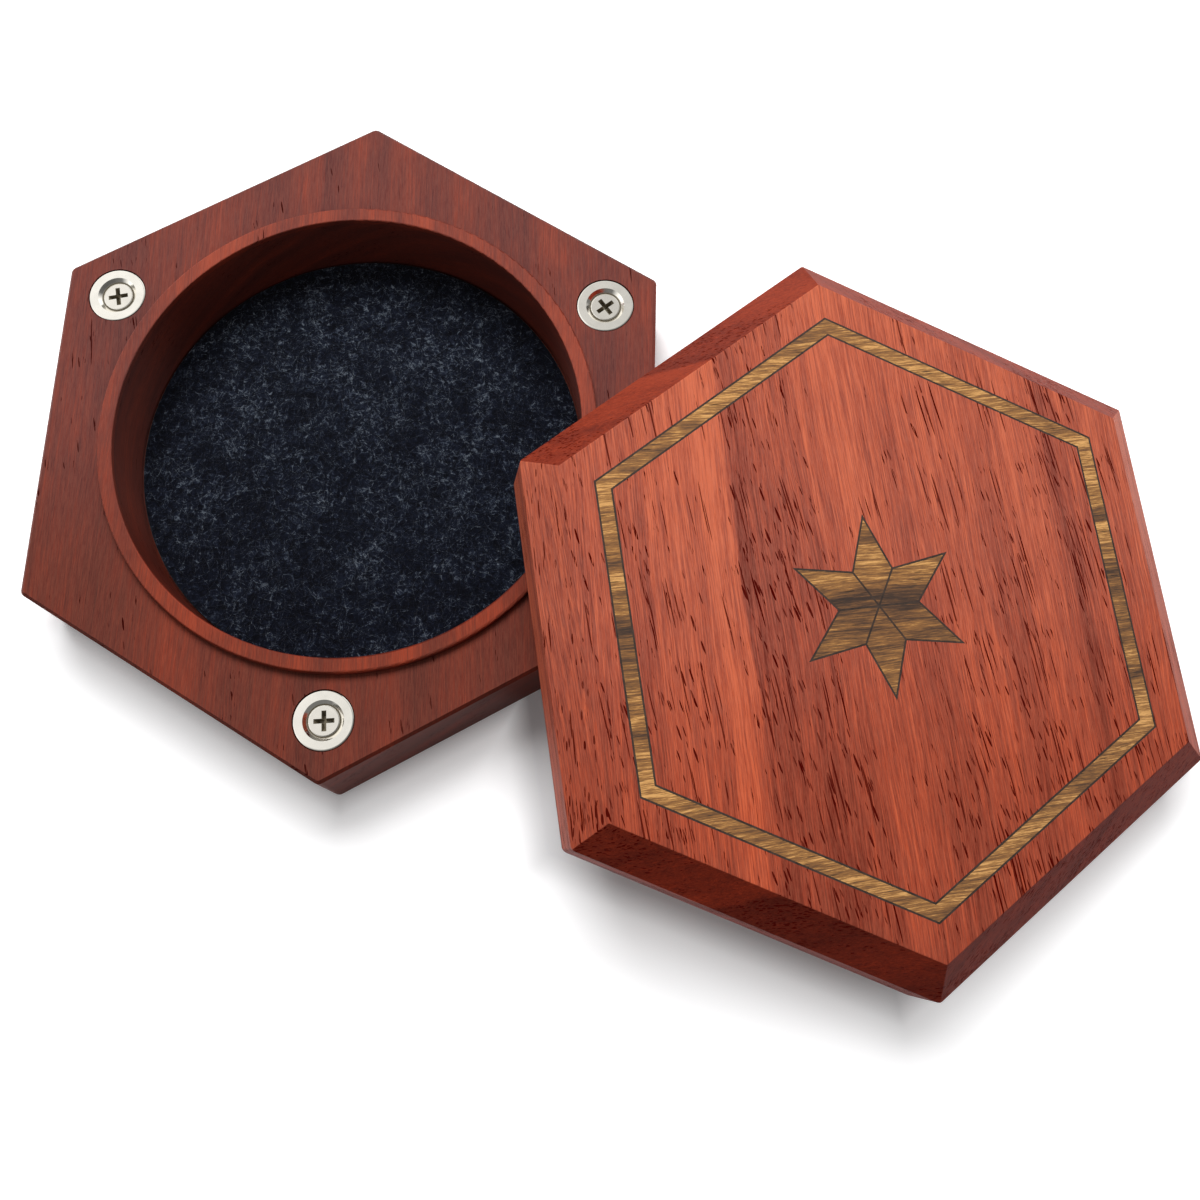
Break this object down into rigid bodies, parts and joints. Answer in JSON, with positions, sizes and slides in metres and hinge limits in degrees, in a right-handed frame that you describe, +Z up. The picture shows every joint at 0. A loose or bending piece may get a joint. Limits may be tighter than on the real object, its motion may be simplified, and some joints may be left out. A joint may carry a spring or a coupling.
{
  "type": "dice storage chest",
  "caption": "Hexagonal hardwood dice chest: a felted round well in the base, and a chamfered lid with inlay that lifts off and shuts on screwed ring magnets.",
  "frame": {"origin": "centre of the base's flat underside", "axes": "+Z up out of the well, +Y through a corner of the base, +X through a flat side towards the lid that leans there"},
  "size_m": [0.1892, 0.1463, 0.0344],
  "materials": {
    "base_wood": "oiled, satin",
    "lid_wood": "oiled, satin",
    "inlay_wood": "oiled, satin",
    "dark_glue": "sanded flush",
    "felt": "matted wool felt",
    "magnet_nickel": "bright nickel plate",
    "screw_nickel": "nickel plate"
  },
  "bodies": {
    "base": {"base_block": "base_wood", "tray_felt": "felt", "base_magnet_1": "magnet_nickel", "base_magnet_2": "magnet_nickel", "base_magnet_3": "magnet_nickel", "base_screw_1": "screw_nickel", "base_screw_2": "screw_nickel", "base_screw_3": "screw_nickel"},
    "lid": {"lid_block": "lid_wood", "band_inlay": "inlay_wood", "band_glue_outer": "dark_glue", "band_glue_inner": "dark_glue", "star_point_1": "inlay_wood", "star_point_2": "inlay_wood", "star_point_3": "inlay_wood", "star_point_4": "inlay_wood", "star_point_5": "inlay_wood", "star_point_6": "inlay_wood", "star_glue": "dark_glue", "lid_magnet_1": "magnet_nickel", "lid_magnet_2": "magnet_nickel", "lid_magnet_3": "magnet_nickel", "lid_screw_1": "screw_nickel", "lid_screw_2": "screw_nickel", "lid_screw_3": "screw_nickel"}
  },
  "joints": [
    {"name": "lid_lift", "type": "slide", "parent": "base", "child": "lid", "axis": [0, 0, 1], "range_m": [0, 0.1]}
  ]
}
